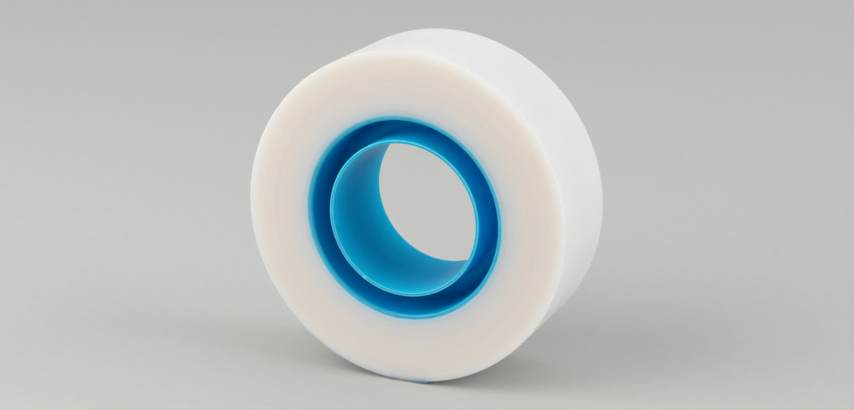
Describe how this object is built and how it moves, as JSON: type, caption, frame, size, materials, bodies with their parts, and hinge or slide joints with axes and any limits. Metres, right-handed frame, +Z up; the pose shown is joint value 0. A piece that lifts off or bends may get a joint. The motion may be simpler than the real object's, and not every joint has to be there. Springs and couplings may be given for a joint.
{
  "type": "roll of clear tape",
  "caption": "Roll of matte clear tape on a blue double-ring core, standing on its tread, with a free end that peels off the roll and a folded starter tab.",
  "frame": {"origin": "centre of the core's bore, at mid-width of the tape", "axes": "+Y along the roll's axis, away from the face that the picture shows; +Z up, with the roll standing on its tread; +X to the right as the picture shows that face"},
  "size_m": [0.0562, 0.019, 0.0557],
  "materials": {
    "core_plastic": "glossy moulded plastic, slightly translucent blue",
    "wound_tape": "edges of many turns of matte film, warm white and translucent",
    "tape_film": "matte frosted film",
    "tab_film": "smooth blue film"
  },
  "bodies": {
    "roll": {"core": "core_plastic", "tape_winding": "wound_tape", "outer_turn": "tape_film"},
    "tape_tail_01": {"tape_tail_01": "tape_film"},
    "tape_tail_02": {"tape_tail_02": "tape_film"},
    "tape_tail_03": {"tape_tail_03": "tape_film"},
    "tape_tail_04": {"tape_tail_04": "tape_film"},
    "tape_tail_05": {"tape_tail_05": "tape_film"},
    "tape_tail_06": {"tape_tail_06": "tape_film"},
    "tape_tail_07": {"tape_tail_07": "tape_film"},
    "tape_tail_08": {"tape_tail_08": "tape_film"},
    "tape_tail_09": {"tape_tail_09": "tape_film"},
    "tape_tail_10": {"tape_tail_10": "tape_film"},
    "tape_tail_11": {"tape_tail_11": "tape_film"},
    "tail_end": {"tape_end": "tape_film", "starter_tab": "tab_film"}
  },
  "joints": [
    {"name": "peel", "type": "hinge", "parent": "roll", "child": "tape_tail_01", "pos_m": [0, 0, 0.02812], "axis": [0, 1, 0], "range_deg": [0, 15.2]},
    {"name": "bend_01", "type": "hinge", "parent": "tape_tail_01", "child": "tape_tail_02", "pos_m": [-0.0074, 0, 0.02713], "axis": [0, 1, 0], "range_deg": [0, 15.2]},
    {"name": "bend_02", "type": "hinge", "parent": "tape_tail_02", "child": "tape_tail_03", "pos_m": [-0.01428, 0, 0.02423], "axis": [0, 1, 0], "range_deg": [0, 15.2]},
    {"name": "bend_03", "type": "hinge", "parent": "tape_tail_03", "child": "tape_tail_04", "pos_m": [-0.02016, 0, 0.01962], "axis": [0, 1, 0], "range_deg": [0, 15.2]},
    {"name": "bend_04", "type": "hinge", "parent": "tape_tail_04", "child": "tape_tail_05", "pos_m": [-0.02461, 0, 0.01363], "axis": [0, 1, 0], "range_deg": [0, 15.2]},
    {"name": "bend_05", "type": "hinge", "parent": "tape_tail_05", "child": "tape_tail_06", "pos_m": [-0.02734, 0, 0.00668], "axis": [0, 1, 0], "range_deg": [0, 15.2]},
    {"name": "bend_06", "type": "hinge", "parent": "tape_tail_06", "child": "tape_tail_07", "pos_m": [-0.02814, 0, -0.00074], "axis": [0, 1, 0], "range_deg": [0, 15.2]},
    {"name": "bend_07", "type": "hinge", "parent": "tape_tail_07", "child": "tape_tail_08", "pos_m": [-0.02696, 0, -0.00811], "axis": [0, 1, 0], "range_deg": [0, 15.2]},
    {"name": "bend_08", "type": "hinge", "parent": "tape_tail_08", "child": "tape_tail_09", "pos_m": [-0.02389, 0, -0.01492], "axis": [0, 1, 0], "range_deg": [0, 15.2]},
    {"name": "bend_09", "type": "hinge", "parent": "tape_tail_09", "child": "tape_tail_10", "pos_m": [-0.01914, 0, -0.02068], "axis": [0, 1, 0], "range_deg": [0, 15.2]},
    {"name": "bend_10", "type": "hinge", "parent": "tape_tail_10", "child": "tape_tail_11", "pos_m": [-0.01304, 0, -0.02498], "axis": [0, 1, 0], "range_deg": [0, 15.2]},
    {"name": "bend_11", "type": "hinge", "parent": "tape_tail_11", "child": "tail_end", "pos_m": [-0.00602, 0, -0.02753], "axis": [0, 1, 0], "range_deg": [0, 15.2]}
  ],
  "couplings": [
    {"joint": "bend_01", "follows": "peel", "ratio": 1},
    {"joint": "bend_02", "follows": "peel", "ratio": 1},
    {"joint": "bend_03", "follows": "peel", "ratio": 1},
    {"joint": "bend_04", "follows": "peel", "ratio": 1},
    {"joint": "bend_05", "follows": "peel", "ratio": 1},
    {"joint": "bend_06", "follows": "peel", "ratio": 1},
    {"joint": "bend_07", "follows": "peel", "ratio": 1},
    {"joint": "bend_08", "follows": "peel", "ratio": 1},
    {"joint": "bend_09", "follows": "peel", "ratio": 1},
    {"joint": "bend_10", "follows": "peel", "ratio": 1},
    {"joint": "bend_11", "follows": "peel", "ratio": 1}
  ]
}
